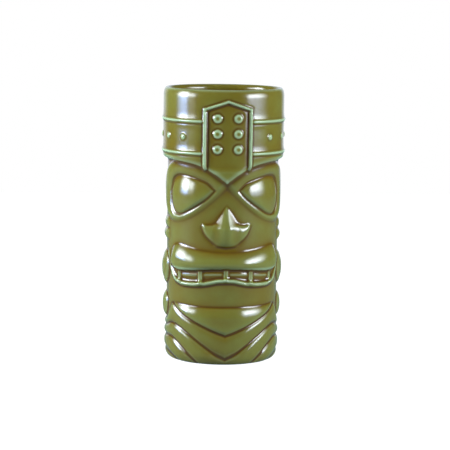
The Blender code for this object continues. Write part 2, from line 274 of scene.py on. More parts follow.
def browHeight():
    # height of the headdress's lower edge at every spot's place round the mug
    edge = smoothLine(brow["edge"])
    return np.interp(along, edge[:, 0], edge[:, 1])


def shapeCrown():
    away = distanceTo(smoothLine(brow["edge"]))
    step = mug["crownRadius"] - mug["faceRadius"]
    foot = surroundLift(distanceTo(smoothLine(eyeSurround["low"])))
    out = foot + (step - foot) * roundOver(away / brow["roundness"])
    return np.where(up > browHeight(), out, 0.0) - ridge(away, brow["crease"], brow["creaseWidth"])


hoops = {
    "heights": [nodeMiddle("lower_hoop")[2], nodeMiddle("upper_hoop")[2]],
    "ridge": 0.62,
    "ridgeWidth": 0.72,
    "skirt": 0.48,             # the wall sweeps out gently towards each hoop
    "skirtWidth": 2.4,
    "grooveAway": 1.6,         # fine grooves run below and above, where glaze gathers
    "groove": 0.26,
    "grooveWidth": 0.75,
    "upperGroove": 0.091,
    "upperGrooveWidth": 0.7,
    "endAngle": nodeAngle("band_stud_01") - 20.6,  # they stop beside the plaque
    "endLength": 1.2,
}


def shapeHoops():
    lift = np.zeros(along.shape)
    for height in hoops["heights"]:
        away = np.abs(up - height)
        lift += ridge(away, hoops["ridge"], hoops["ridgeWidth"])
        lift += ridge(away, hoops["skirt"], hoops["skirtWidth"])
        lift -= ridge(height - up - hoops["grooveAway"], hoops["groove"], hoops["grooveWidth"])
        lift -= ridge(up - height - hoops["grooveAway"], hoops["upperGroove"],
                      hoops["upperGrooveWidth"])
    return lift * softStep((degrees - hoops["endAngle"]) / hoops["endLength"] + 1)


bandStuds = {"radius": 2.0, "rise": 0.95, "firstAngle": 45.0, "pitch": 22.5, "count": 7}


def shapeBandStuds():
    lift = np.zeros(along.shape)
    height = nodeMiddle("band_stud_01")[2]
    for i in range(bandStuds["count"]):
        angle = bandStuds["firstAngle"] + i * bandStuds["pitch"]
        lift += disc(angle, height, bandStuds["radius"], bandStuds["rise"])[0]
    return lift


plaque = {
    "barAngle": 21.7,
    "barHalfWidth": 1.0,
    "barFlat": 0.35,           # a bar's flat ends this far inside its edge
    "barRounding": 0.8,        # and rounds over within this
    "foot": 119.6,
    "shoulder": 155.2,
    "peak": 159.9,
    "railHalfWidth": 0.95,
    "frameRise": 1.15,
    "sink": 0.55,              # how far the panel lies behind the frame's foot
    "sinkStart": 3.0,          # it starts to sink this far below the foot
    "sinkOver": 5.0,
    "roofSoftness": 0.8,       # of the panel's edge under the rails
    "sideSoftness": 1.2,       # and beside the bars, in degrees
    "seam": 0.22,              # fine groove along the frame, where glaze gathers
    "seamWidth": 0.7,
    "seamOffBar": 0.5,
    "seamOffRail": 1.3,
    "seamStart": 2.0,
    "fadeIn": 4.0,             # the whole plaque comes up out of the brow over this height
    "studAngle": nodeAngle("plaque_stud_low_left"),
    "studRows": [nodeMiddle(f"plaque_stud_{row}_left")[2] for row in ("low", "middle", "high")],
    "studRadius": 2.9,
    "studRise": 1.25,
    "studDimple": 0.5,
    "studDimpleWidth": 0.95,
    "studSeat": 0.16,          # groove round each stud
    "studSeatOff": 0.35,
}


def shapePlaque():
    barFoot = (plaque["barAngle"], plaque["foot"])
    shoulder = (plaque["barAngle"], plaque["shoulder"])
    bar = distanceTo(straightLine([barFoot, shoulder]))
    rail = distanceTo(straightLine([shoulder, (0, plaque["peak"])]))
    offFlat = bar - plaque["barHalfWidth"] + plaque["barFlat"]
    barTop = 1.0 - softStep(offFlat / plaque["barRounding"])
    railTop = ridge(rail, 1.0, plaque["railHalfWidth"])
    roofLine = np.interp(degrees, [0, plaque["barAngle"]], [plaque["peak"], plaque["shoulder"]])
    inPanel = softStep((roofLine - up) / plaque["roofSoftness"])
    inPanel *= softStep((plaque["barAngle"] - degrees) / plaque["sideSoftness"])
    inPanel *= softStep((up - plaque["foot"] + plaque["sinkStart"]) / plaque["sinkOver"])
    lift = plaque["frameRise"] * np.maximum(barTop, railTop) - plaque["sink"] * inPanel
    seam = np.minimum(np.abs(bar - plaque["barHalfWidth"] - plaque["seamOffBar"]),
                      np.abs(rail - plaque["seamOffRail"]))
    seam = ridge(seam, plaque["seam"], plaque["seamWidth"])
    lift -= seam * softStep((up - plaque["foot"]) / plaque["seamStart"])
    for height in plaque["studRows"]:
        button, away = disc(plaque["studAngle"], height, plaque["studRadius"], plaque["studRise"])
        lift += button - ridge(away, plaque["studDimple"], plaque["studDimpleWidth"])
        lift -= ridge(away - plaque["studRadius"] - plaque["studSeatOff"], plaque["studSeat"],
                      plaque["seamWidth"])
    return lift * softStep((up - plaque["foot"]) / plaque["fadeIn"] + 1)


# face: eyes, nose and mouth

eye = {
    "top": [(12.0, 106.5), (20, 110.9), (30, 113.2), (40, 114.7), (50, 115.4), (58, 114.6),
            (64, 111.6), (67.5, 105.0)],
    "low": [(12.0, 106.5), (20, 101.7), (29, 97.7), (38, 94.4), (46, 92.0), (54, 91.0),
            (61, 92.2), (65.6, 97.0), (67.5, 105.0)],
    "rise": 2.6,
    "fullest": (38.0, 101.5),  # degrees and height where the eyeball stands out most
    "fallAcross": 0.0048,
    "fallUp": 0.0125,
    "edge": 2.3,
    "crease": 0.26,
    "creaseWidth": 0.8,
}
eyeSurround = {
    "top": [(0, 111.5), (5, 114.0), (10, 116.3), (20, 120.1), (30, 122.5), (45, 124.4),
            (60, 124.2), (71, 122.2), (80, 118.2), (86.5, 110.5), (88, 103.5)],
    "low": [(0, 107.4), (10, 101.8), (20, 96.4), (30, 92.0), (40, 88.8), (50, 86.8),
            (60, 85.9), (70, 86.6), (79, 89.8), (86, 96.0), (88, 103.5)],
    "rise": 1.7,
    "underBrow": (56.0, 68.0),  # runs on under the brow up to here, then rounds off by itself
    "topSpan": 2.4,
    "lowSpan": 4.4,
    "lowFullness": 0.7,
    "eyeSpan": 4.2,
}


def surroundFoot(fromLow):
    # the surround sweeping up from its lower line
    sweep = softStep(fromLow / eyeSurround["lowSpan"])
    return eyeSurround["rise"] * sweep ** eyeSurround["lowFullness"]


def surroundLift(fromLow):
    # how far the surround stands out where it runs under the brow
    start, end = eyeSurround["underBrow"]
    return surroundFoot(fromLow) * softStep((end - degrees) / (end - start))


def shapeEyes():
    eyeTop = smoothLine(eye["top"])
    eyeLow = smoothLine(eye["low"])
    top = smoothLine(eyeSurround["top"])
    low = smoothLine(eyeSurround["low"])
    fromEye = np.minimum(distanceTo(eyeTop), distanceTo(eyeLow))
    fromLow = distanceTo(low)
    alone = surroundFoot(fromLow) * softStep(distanceTo(top) / eyeSurround["topSpan"])
    band = np.maximum(alone, surroundLift(fromLow)) * roundOver(fromEye / eyeSurround["eyeSpan"])
    lift = np.where(insideOf(np.vstack([top, low[::-1]])), band, 0.0)
    angle, height = eye["fullest"]
    ball = eye["rise"] - eye["fallAcross"] * (along - angle * mmPerDegree) ** 2
    ball = ball - eye["fallUp"] * (up - height) ** 2
    inEye = insideOf(np.vstack([eyeTop, eyeLow[::-1]]))
    lift = np.where(inEye, ball * roundOver(fromEye / eye["edge"]), lift)
    return lift - ridge(fromEye, eye["crease"], eye["creaseWidth"])


nose = {
    "apex": 98.0,
    "tip": 84.0,
    "underTip": 11.5,          # the tip turns in over this height
    "rise": 4.0,
    "riseShape": 0.9,          # below 1 the bridge rises sooner
    "flankSlope": 0.57,
    "halfWidthAtTip": 8.9,
    "bridgeRounding": 0.3,
    "leastRise": 0.001,
    "wingTop": [(0, 88.0), (10, 87.0), (15, 86.0), (20, 85.6), (24, 86.2), (26.2, 84.6)],
    "wingLow": [(0, 71.6), (9, 73.0), (16, 76.0), (22, 79.6), (26.2, 84.6)],
    "wingRise": 2.2,
    "wingFullWidth": 9.0,
    "crease": 0.38,            # under the wings
    "creaseWidth": 0.8,
    "flankCrease": 0.12,
    "flankCreaseWidth": 0.7,
    "flankCreaseLow": 86.0,
}


def joined(first, second, sharpness=3.0):
    # two swellings run together
    first = np.maximum(first, 0.0)
    second = np.maximum(second, 0.0)
    return (first ** sharpness + second ** sharpness) ** (1 / sharpness)


def lowerOf(first, second, rounding):
    # the lower of two surfaces, with the edge between them rounded
    return -rounding * np.log(np.exp(-first / rounding) + np.exp(-second / rounding))


def shapeNose():
    down = (nose["apex"] - up) / (nose["apex"] - nose["tip"])
    narrow = np.clip(down, 0.0, 1.0)
    flank = nose["flankSlope"] * (nose["halfWidthAtTip"] * narrow - along)
    top = nose["rise"] * narrow ** nose["riseShape"] + nose["leastRise"]
    bridge = np.clip(lowerOf(flank, top, nose["bridgeRounding"]), 0.0, None)
    under = np.clip((nose["tip"] - up) / nose["underTip"], 0.0, 1.0)
    bridge = np.where(down > 0, bridge * np.sqrt(1 - under ** 2), 0.0)
    wingLow = smoothLine(nose["wingLow"])
    wings = roll(smoothLine(nose["wingTop"]), wingLow, nose["wingRise"], nose["wingFullWidth"])[0]
    lift = joined(bridge, wings)
    lift -= ridge(distanceTo(wingLow), nose["crease"], nose["creaseWidth"])
    flankLow = (nose["halfWidthAtTip"] / mmPerDegree, nose["flankCreaseLow"])
    flankLine = straightLine([(0, nose["apex"]), flankLow])
    return lift - ridge(distanceTo(flankLine), nose["flankCrease"], nose["flankCreaseWidth"])


upperLip = {
    "top": [(0, 69.1), (11, 69.3), (27, 70.3), (38, 71.3), (47, 72.2), (56, 72.8), (63, 71.2),
            (68.5, 66.5), (71.5, 60.5)],
    "low": [(0, 58.9), (15, 58.6), (25, 58.0), (37, 57.3), (49, 56.8), (58, 57.4), (66, 59.2),
            (71.5, 60.5)],
    "rise": 3.35,
    "topSpan": 9.7,
    "lowSpan": 4.2,
    "crease": 0.18,            # where it meets the teeth
    "creaseWidth": 0.8,
}
lowerLip = {
    "line": [(0, 51.9), (8, 51.75), (15, 50.8), (22, 49.9), (30, 49.4), (40, 49.1), (49, 49.3),
             (56, 50.4), (61.5, 52.1), (66.5, 55.3), (71.5, 60.4), (74.5, 66.0)],
    "rise": 1.35,
    "halfWidth": 1.12,
    "cornerAngle": 56.0,       # from here to the corner of the mouth it gets lower
    "cornerOver": 10.0,
    "cornerLoss": 0.45,
    "sweep": 0.3,              # the wall sweeps out gently towards it
    "sweepWidth": 2.6,
    "crease": 0.28,
    "creaseWidth": 0.9,
    "creaseBelow": 2.1,
}
teeth = {
    "posts": [nodeAngle("tooth_post_3"), nodeAngle("tooth_post_4"), nodeAngle("tooth_post_5")],
    "postHalfWidth": 1.45,
    "postSwell": 1.6,          # above 1 the posts are cut off flat at the top
    "postRise": 1.0,
    "barLine": [(0, 55.9), (16, 55.6), (37, 54.7), (50, 54.2)],
    "barHalfHeight": 1.3,
    "barRise": 0.5,
    "lastAngle": 60.0,
    "mouthDepth": 0.3,
    "mouthRounding": 1.6,
    "crispHeights": (50.5, 60.0),  # in this area the small forms are softened less
    "crispAngle": 64.0,
    "crispEdge": 0.6,
    "crispShare": 0.3,
}


def shapeTeeth():
    posts = np.zeros(along.shape)
    for angle in teeth["posts"]:
        away = along - angle * mmPerDegree
        post = np.minimum(ridge(away, teeth["postSwell"], teeth["postHalfWidth"]), 1.0)
        posts = np.maximum(posts, post)
    barLine = smoothLine(teeth["barLine"])
    away = up - np.interp(along, barLine[:, 0], barLine[:, 1])
    bars = ridge(away, 1.0, teeth["barHalfHeight"])
    bars *= softStep(teeth["posts"][-1] + 1 - degrees)  # they end just past the last post
    bite = np.maximum(posts * teeth["postRise"], bars * teeth["barRise"])
    return np.where(degrees < teeth["lastAngle"], bite, 0.0)


def shapeMouth():
    lipLow = smoothLine(upperLip["low"])
    lipLine = smoothLine(lowerLip["line"])
    lift = bulge(smoothLine(upperLip["top"]), lipLow, upperLip["rise"], upperLip["topSpan"],
                 upperLip["lowSpan"])
    inMouth = insideOf(np.vstack([lipLow, lipLine[:-1][::-1]]))
    fromUpper = distanceTo(lipLow)
    fromLower = distanceTo(lipLine)
    fromLips = np.minimum(fromUpper, fromLower)
    sunk = teeth["mouthDepth"] * softStep(fromLips / teeth["mouthRounding"])
    lift += np.where(inMouth, shapeTeeth() - sunk, 0.0)
    lift -= ridge(fromUpper, upperLip["crease"], upperLip["creaseWidth"])
    corner = softStep((degrees - lowerLip["cornerAngle"]) / lowerLip["cornerOver"])
    rise = lowerLip["rise"] * (1 - lowerLip["cornerLoss"] * corner)
    lift += ridge(fromLower, rise, lowerLip["halfWidth"])
    lift += ridge(fromLower, lowerLip["sweep"], lowerLip["sweepWidth"])
    below = distanceTo(lipLine - np.array((0.0, lowerLip["creaseBelow"])))
    return lift - ridge(below, lowerLip["crease"], lowerLip["creaseWidth"])


ears = {
    "angle": 90.0,
    "discHeight": nodeMiddle("ear_disc_right")[2],
    "discRadius": 10.9,
    "discRise": 3.2,
    "lobeHeight": nodeMiddle("lobe_disc_right")[2],
    "lobeRadius": 8.2,
    "lobeRise": 2.6,
    "fullness": 0.62,          # smaller is flatter on top and steeper at the edge
    "seat": 0.3,               # groove round each disc
    "step": 0.25,              # groove inside the large disc
    "stepShare": 0.62,         # of the disc's radius
    "grooveWidth": 0.8,
    "foldHeights": [nodeMiddle("ear_fold_lower_right")[2], nodeMiddle("ear_fold_upper_right")[2]],
    "foldRises": [1.6, 1.1],
    "foldHalfHeight": 3.2,
    "foldAngles": (72.0, 108.0),
    "foldEnd": 7.0,            # degrees in which a fold rises at each end
}


def shapeEars():
    lift = np.zeros(along.shape)
    for part in ("disc", "lobe"):
        button, away = disc(ears["angle"], ears[part + "Height"], ears[part + "Radius"],
                            ears[part + "Rise"], ears["fullness"])
        lift += button - ridge(away - ears[part + "Radius"], ears["seat"], ears["grooveWidth"])
        if part == "disc":
            step = ears["discRadius"] * ears["stepShare"]
            lift -= ridge(away - step, ears["step"], ears["grooveWidth"])
    start, end = ears["foldAngles"]
    span = softStep((degrees - start) / ears["foldEnd"])
    span *= softStep((end - degrees) / ears["foldEnd"])
    for height, rise in zip(ears["foldHeights"], ears["foldRises"]):
        lift += span * rise * roundOver(1 - np.abs(up - height) / ears["foldHalfHeight"])
    return lift


beard = {
    "chinTop": [(0, 35.7), (30, 35.7), (50, 36.0), (60, 36.4), (63.5, 35.9)],
    "chinLow": [(0, 18.2), (10, 20.4), (30, 25.5), (50, 30.9), (60, 34.2), (63.5, 35.9)],
    # grooves between the rolls, from the front round to just past the back
    "grooves": [
        [(0, 18.2), (10, 20.4), (30, 25.5), (50, 30.9), (60, 34.2), (66, 35.6), (71, 32.6),
         (76, 27.4), (83, 24.6), (90, 24.2), (110, 24.6), (140, 25.6), (186, 25.6)],
        [(0, 3.6), (10, 6.8), (20, 10.7), (30, 14.7), (40, 18.4), (50, 21.4), (60, 23.2),
         (68, 23.3), (76, 22.0), (90, 20.4), (110, 19.6), (140, 19.4), (186, 19.4)],
        [(0, -4.0), (14, -3.8), (24, -3.0), (33, 2.2), (42, 6.8), (50, 10.4), (60, 13.6),
         (68, 14.9), (80, 14.9), (90, 14.4), (120, 13.2), (186, 12.8)],
        [(0, -8.0), (40, -7.0), (50, -3.0), (60, 1.2), (68, 3.8), (78, 5.6), (90, 6.4),
         (120, 6.4), (186, 6.2)],
    ],
    "lowest": [(0, -12), (60, -9), (90, -2.5), (186, -2.5)],  # where the last roll would end
    "chinRise": 1.85,
    "chinTopSpan": 7.8,
    "chinLowSpan": 3.0,
    "chinCrease": 0.22,
    "chinCreaseWidth": 0.9,
    "rollRise": 1.5,
    "rollFullWidth": 5.0,
    "rollFullness": 0.45,
    "groove": 0.55,
    "grooveWidth": 0.8,
}


def shapeBeard():
    chinTop = smoothLine(beard["chinTop"])
    lift = bulge(chinTop, smoothLine(beard["chinLow"]), beard["chinRise"], beard["chinTopSpan"],
                 beard["chinLowSpan"])
    lift -= ridge(distanceTo(chinTop), beard["chinCrease"], beard["chinCreaseWidth"])
    grooves = [smoothLine(points) for points in beard["grooves"]]
    for top, low in zip(grooves, grooves[1:] + [smoothLine(beard["lowest"])]):
        piece, inPiece = roll(top, low, beard["rollRise"], beard["rollFullWidth"],
                              beard["rollFullness"])
        lift = np.where(inPiece, piece, lift)
    for groove in grooves:
        lift -= ridge(distanceTo(groove), beard["groove"], beard["grooveWidth"])
    return lift


def crispness():
    # how far every spot keeps its small forms: all of the headdress, some of the teeth
    headdress = blurred((up > browHeight()).astype(float), brow["crispEdge"])
    headdress = softStep((headdress - brow["crispFrom"]) / brow["crispOver"])
    low, high = teeth["crispHeights"]
    bite = (up > low) & (up < high) & (degrees < teeth["crispAngle"])
    bite = teeth["crispShare"] * blurred(bite.astype(float), teeth["crispEdge"])
    return np.maximum(headdress, bite)


def shapeWall():
    onBand = np.where(up > browHeight(), shapeHoops() + shapeBandStuds(), shapeEyes())
    return (shapeCrown() + onBand + shapePlaque() + shapeNose() + shapeMouth() + shapeEars()
            + shapeBeard())


clay = shapeWall()
lift = blurred(clay, mug["faceSoftness"])
lift += (blurred(clay, mug["headdressSoftness"]) - lift) * crispness()
clay = blurred(clay, mug["claySoftness"])
print("relief worked out, from", round(lift.min(), 2), "to", round(lift.max(), 2), "mm")


# glaze thickness: thick in the creases, thin on the edges

glazeFlow = {
    "creaseSpread": 0.95,
    "edgeSpread": 0.65,
    "broadSpread": 3.2,
    "creaseDepth": 0.26,       # hollow in mm that fills with dark glaze
    "edgeHeight": 0.17,        # rise in mm that the glaze runs off
    "broadDepth": 1.6,         # from broad swelling to broad hollow, in mm
    "lightCreases": (61.0, 121.0),  # between these heights the creases hold less glaze
    "lightEnds": (2.0, 4.0),
    "lightShare": 0.72,
    "edgeBlend": 0.4,
    # how readily the glaze leaves an edge bare, and how far from that edge in mm
    "runsOff": {"headdress": 1.0, "browEdge": 0.8, "face": 0.16, "noseWings": 0.22,
                "lowerLip": 0.68, "teeth": 0.95, "ears": 0.45, "beard": 0.16},
    "runsOffReach": {"lowerLip": 2.2, "noseWings": 2.6, "ears": 1.5},
    "browEdgeHeight": 2.0,     # the headdress's own share starts this far above its edge
    "browEdgeOver": 1.5,
    "teethHeights": (51.5, 59.5),
    "beardHeight": 38.0,
}


def runOffMap():
    runsOff = glazeFlow["runsOff"]
    amount = np.full(along.shape, runsOff["face"])
    amount[up < glazeFlow["beardHeight"]] = runsOff["beard"]
    low, high = glazeFlow["teethHeights"]
    amount[(up > low) & (up < high) & (degrees < teeth["lastAngle"])] = runsOff["teeth"]
    spots = [("lowerLip", distanceTo(smoothLine(lowerLip["line"]))),
             ("noseWings", distanceTo(smoothLine(nose["wingTop"])))]
    for part in ("disc", "lobe"):
        away = np.hypot(along - ears["angle"] * mmPerDegree, up - ears[part + "Height"])
        spots.append(("ears", np.maximum(away - ears[part + "Radius"], 0.0)))
    for part, away in spots:
        reach = glazeFlow["runsOffReach"][part]
        amount = np.maximum(amount, ridge(away, runsOff[part], reach))
    aboveEdge = up - browHeight()
    climb = softStep((aboveEdge - glazeFlow["browEdgeHeight"]) / glazeFlow["browEdgeOver"])
    crown = runsOff["browEdge"] + (runsOff["headdress"] - runsOff["browEdge"]) * climb
    return np.where(aboveEdge > 0, crown, amount)


def pooledGlaze():
    hollow = blurred(clay, glazeFlow["creaseSpread"]) - clay
    pooled = softStep(hollow / glazeFlow["creaseDepth"])
    low, high = glazeFlow["lightCreases"]
    lowEnd, highEnd = glazeFlow["lightEnds"]
    onFace = softStep((up - low) / lowEnd) * softStep((high - up) / highEnd)
    pooled *= 1.0 - (1.0 - glazeFlow["lightShare"]) * onFace
    underBrow = distanceTo(smoothLine(brow["edge"]) - np.array((0.0, brow["poolBelow"])))
    return np.maximum(pooled, ridge(underBrow, brow["pool"], brow["poolWidth"]))


def thinGlaze():
    edges = clay - blurred(clay, glazeFlow["edgeSpread"])
    return softStep(edges / glazeFlow["edgeHeight"]) * blurred(runOffMap(), glazeFlow["edgeBlend"])


def glazeDepth():
    # 0 on a broad swelling, 1 in a broad hollow
    hollow = blurred(clay, glazeFlow["broadSpread"]) - clay
    return np.clip(0.5 + hollow / glazeFlow["broadDepth"], 0.0, 1.0)


pooled = pooledGlaze()
thin = thinGlaze()
depth = glazeDepth()
print("glaze thickness worked out")


# the mug's skin as rings: under the foot, up the outside, over the rim, down inside

around = 2 * mug["halfColumns"]
stepsRound = np.arange(around) - mug["halfColumns"]
fold = np.abs(stepsRound)      # the half wall's column at every step round
turns = np.radians(stepsRound * 180.0 / mug["halfColumns"])
level = np.ones(around)

underside = {
    "recess": 1.2,             # a shallow hollow inside the foot ring
    "recessRadii": (2.0, 10.0, 18.0, 25.0),
    "recessThin": 0.2,
    "footRing": ((26.0, 0.9), (26.7, 0.15), (27.2, 0.0), (29.0, 0.0)),  # radius, height
}
rim = {
    "outerSteps": 18,
    "innerSteps": 8,
    "innerDrop": 2.6,
    "crestIn": 1.9,            # the top of the rim lies this far in from the wall
    "bare": 0.35,
    "bareFrom": 40.0,          # degrees round the rim's curve
    "bareOver": 30.0,
}
cup = {
    # height and radius down the inside, from under the rim to the floor's rounding
    "profile": [(164.4, 33.25), (150.0, 33.1), (130.0, 32.8), (124.0, 31.6), (117.0, 30.1),
                (100.0, 29.9), (60.0, 29.8), (14.5, 29.6)],
    "belowRim": 1.0,
    "pitch": 3.8,
    "floorRound": 9.0,
    "floorSteps": 8,
    "floorRings": (0.55, 0.4, 0.25, 0.07),  # shares of the inner radius
    # dark glaze, thin glaze and depth
    "wallGlaze": (0.25, 0.0, 0.7),
    "cornerGlaze": (0.45, 0.0, 0.8),
    "floorGlaze": (0.5, 0.0, 0.8),
}


def ring(radius, height, pool=0.0, thinness=0.0, deepness=0.5):
    # each value is one number, or one for every step round
    place = np.stack([level * radius * np.sin(turns), level * -radius * np.cos(turns),
                      level * height], axis=1) / mmPerMetre
    return place, np.stack([level * pool, level * thinness, level * deepness], axis=1)


def undersideRings():
    rings = [ring(radius, underside["recess"], 0.0, underside["recessThin"])
             for radius in underside["recessRadii"]]
    return rings + [ring(radius, height) for radius, height in underside["footRing"]]


def outerRings():
    rings = []
    for row, height in enumerate(heights):
        curl = min(1.0, height / mug["footCurl"])
        inward = math.sqrt(1 - (1 - curl) ** 2)
        reach = mug["faceRadius"] + lift[row][fold] - mug["footRadius"]
        rings.append(ring(mug["footRadius"] + reach * inward, height, pooled[row][fold],
                          thin[row][fold], depth[row][fold]))
    return rings


def innerRadius(height):
    rows = sorted(cup["profile"])
    return float(np.interp(height, [row[0] for row in rows], [row[1] for row in rows]))


def rimRings():
    edge = mug["faceRadius"] + lift[-1][fold]
    crest = mug["crownRadius"] - rim["crestIn"]
    rise = mug["height"] - mug["rimStart"]
    within = innerRadius(mug["height"])
    rings = []
    for i in range(1, rim["outerSteps"] + 1):
        turn = math.pi / 2 * i / rim["outerSteps"]
        bare = float(softStep((math.degrees(turn) - rim["bareFrom"]) / rim["bareOver"]))
        rings.append(ring(crest + (edge - crest) * math.cos(turn),
                          mug["rimStart"] + rise * math.sin(turn), 0.0, rim["bare"] * bare))
    for i in range(1, rim["innerSteps"] + 1):
        turn = math.pi / 2 * i / rim["innerSteps"]
        bare = float(softStep((rim["bareFrom"] - math.degrees(turn)) / rim["bareOver"]))
        rings.append(ring(crest - (crest - within) * math.sin(turn),
                          mug["height"] - rim["innerDrop"] * (1 - math.cos(turn)), 0.0,
                          rim["bare"] * bare))
    return rings


def innerRings():
    top = mug["height"] - rim["innerDrop"] - cup["belowRim"]
    low = mug["floor"] + cup["floorRound"]
    steps = int(round((top - low) / cup["pitch"]))
    heightsDown = [top + (low - top) * i / steps for i in range(steps + 1)]
    return [ring(innerRadius(height), height, *cup["wallGlaze"]) for height in heightsDown]


def floorRings():
    middle = mug["floor"] + cup["floorRound"]
    radius = innerRadius(middle)
    rings = []
    for i in range(1, cup["floorSteps"] + 1):
        turn = math.pi / 2 * i / cup["floorSteps"]
        rings.append(ring(radius - cup["floorRound"] * (1 - math.cos(turn)),
                          middle - cup["floorRound"] * math.sin(turn), *cup["cornerGlaze"]))
    return rings + [ring(radius * share, mug["floor"], *cup["floorGlaze"])
                    for share in cup["floorRings"]]


outerSkin = undersideRings() + outerRings() + rimRings()
skin = outerSkin + innerRings() + floorRings()
places = np.stack([place for place, values in skin])
glazes = np.stack([values for place, values in skin])
# surface directions come from the whole skin, so the bands meet without a seam
acrossRing = np.roll(places, -1, axis=1) - np.roll(places, 1, axis=1)
slopes = np.cross(acrossRing, np.gradient(places, axis=0))
slopes /= np.maximum(np.linalg.norm(slopes, axis=2, keepdims=True), 1e-12)
print("skin laid out:", places.shape[0], "rings of", around)


def ringNear(height, rings):
    return min(rings, key=lambda number: abs(places[number, 0, 2] * mmPerMetre - height))


def bandRings(low, high):
    # ring numbers of one band: its outside from low to high, then its inside back down
    outside = range(len(undersideRings()), len(outerSkin) - rim["innerSteps"])
    within = range(len(outerSkin), len(outerSkin) + len(innerRings()))
    start = 0 if low is None else ringNear(low, outside)
    finish = len(skin) - 1 if low is None else ringNear(low, within)
    if high is None:
        return list(range(start, finish + 1))
    return (list(range(start, ringNear(high, outside) + 1))
            + list(range(ringNear(high, within), finish + 1)))


def makeBand(name, low, high, material, nodes):
    picked = bandRings(low, high)
    verts = places[picked].reshape(-1, 3)
    pairs = list(zip(range(len(picked)), range(1, len(picked))))
    if low is not None:
        pairs.append((len(picked) - 1, 0))
    step = np.arange(around)
    following = (step + 1) % around
    quads = [np.stack([a * around + step, a * around + following,
                       b * around + following, b * around + step], axis=1) for a, b in pairs]
    faces = np.concatenate(quads).tolist()
    if low is None:
        last = (len(picked) - 1) * around
        faces.append(step[::-1].tolist())
        faces.append((last + step).tolist())
    mesh = bpy.data.meshes.new(name)
    mesh.from_pydata(verts.tolist(), [], faces)
    mesh.shade_smooth()
    mesh.normals_split_custom_set_from_vertices(slopes[picked].reshape(-1, 3).tolist())
    for column, label in enumerate(("pooled", "thin", "depth")):
        layer = mesh.attributes.new(label, "FLOAT", "POINT")
        layer.data.foreach_set("value", glazes[picked][:, :, column].ravel().astype(np.float32))
    mesh.materials.append(material)
    band = bpy.data.objects.new(name, mesh)
    bpy.context.scene.collection.objects.link(band)
    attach(band, "root")
    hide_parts(*nodes)
    print(name, len(mesh.vertices), "points")


# glaze

glaze = {
    "olive": (0.153, 0.120, 0.011),
    "leaf": (0.178, 0.192, 0.036),     # a little thinner and greener
    "amber": (0.138, 0.085, 0.003),    # a little thicker and browner
    "crease": (0.078, 0.034, 0.004),
    "celadon": (0.365, 0.495, 0.275),  # where it runs off an edge
    "roughness": 0.165,
    "glassiness": 1.54,        # index of refraction
    "clouds": 38.0,            # patches of thinner glaze; more is smaller
    "cloudRange": (0.38, 0.66),
    "cloudDetail": 3.0,
    "cloudShare": 0.55,
    "specks": 420.0,
    "speckRange": (0.35, 0.75),
    "speckDetail": 2.0,
    "speckShare": 0.12,
    "amberDepth": (0.52, 0.80),  # glaze depth where the amber starts and is full
    "leafDepth": (0.48, 0.20),   # and the same for the leaf green on swellings
    "leafShare": 0.8,
    "ripples": 160.0,
    "rippleDetail": 1.0,
    "ripple": 0.035,           # strength of the faint unevenness of the gloss
    "rippleHeight": 0.001,
}


def mixColour(tree, amount, first, second):
    mix = tree.nodes.new("ShaderNodeMix")
    mix.data_type = "RGBA"
    tree.links.new(amount, mix.inputs[0])
    for socket, colour in ((mix.inputs[6], first), (mix.inputs[7], second)):
        if isinstance(colour, tuple):
            socket.default_value = (*colour, 1.0)
        else:
            tree.links.new(colour, socket)
    return mix.outputs[2]


def rampOf(tree, source, ends):
    # 0 to 1 while the source goes from one end to the other
    ramp = tree.nodes.new("ShaderNodeMapRange")
    ramp.inputs["From Min"].default_value, ramp.inputs["From Max"].default_value = ends
    tree.links.new(source, ramp.inputs["Value"])
    return ramp.outputs["Result"]


def cloudNoise(tree, size, detail, ends):
    place = tree.nodes.new("ShaderNodeTexCoord")
    noise = tree.nodes.new("ShaderNodeTexNoise")
    noise.inputs["Scale"].default_value = size
    noise.inputs["Detail"].default_value = detail
    tree.links.new(place.outputs["Object"], noise.inputs["Vector"])
    return rampOf(tree, noise.outputs["Fac"], ends)


def multiply(tree, first, second):
    node = tree.nodes.new("ShaderNodeMath")
    node.operation = "MULTIPLY"
    for socket, value in zip(node.inputs, (first, second)):
        if isinstance(value, float):
            socket.default_value = value
        else:
            tree.links.new(value, socket)
    return node.outputs[0]


def layerOf(tree, label):
    node = tree.nodes.new("ShaderNodeAttribute")
    node.attribute_name = label
    return node.outputs["Fac"]


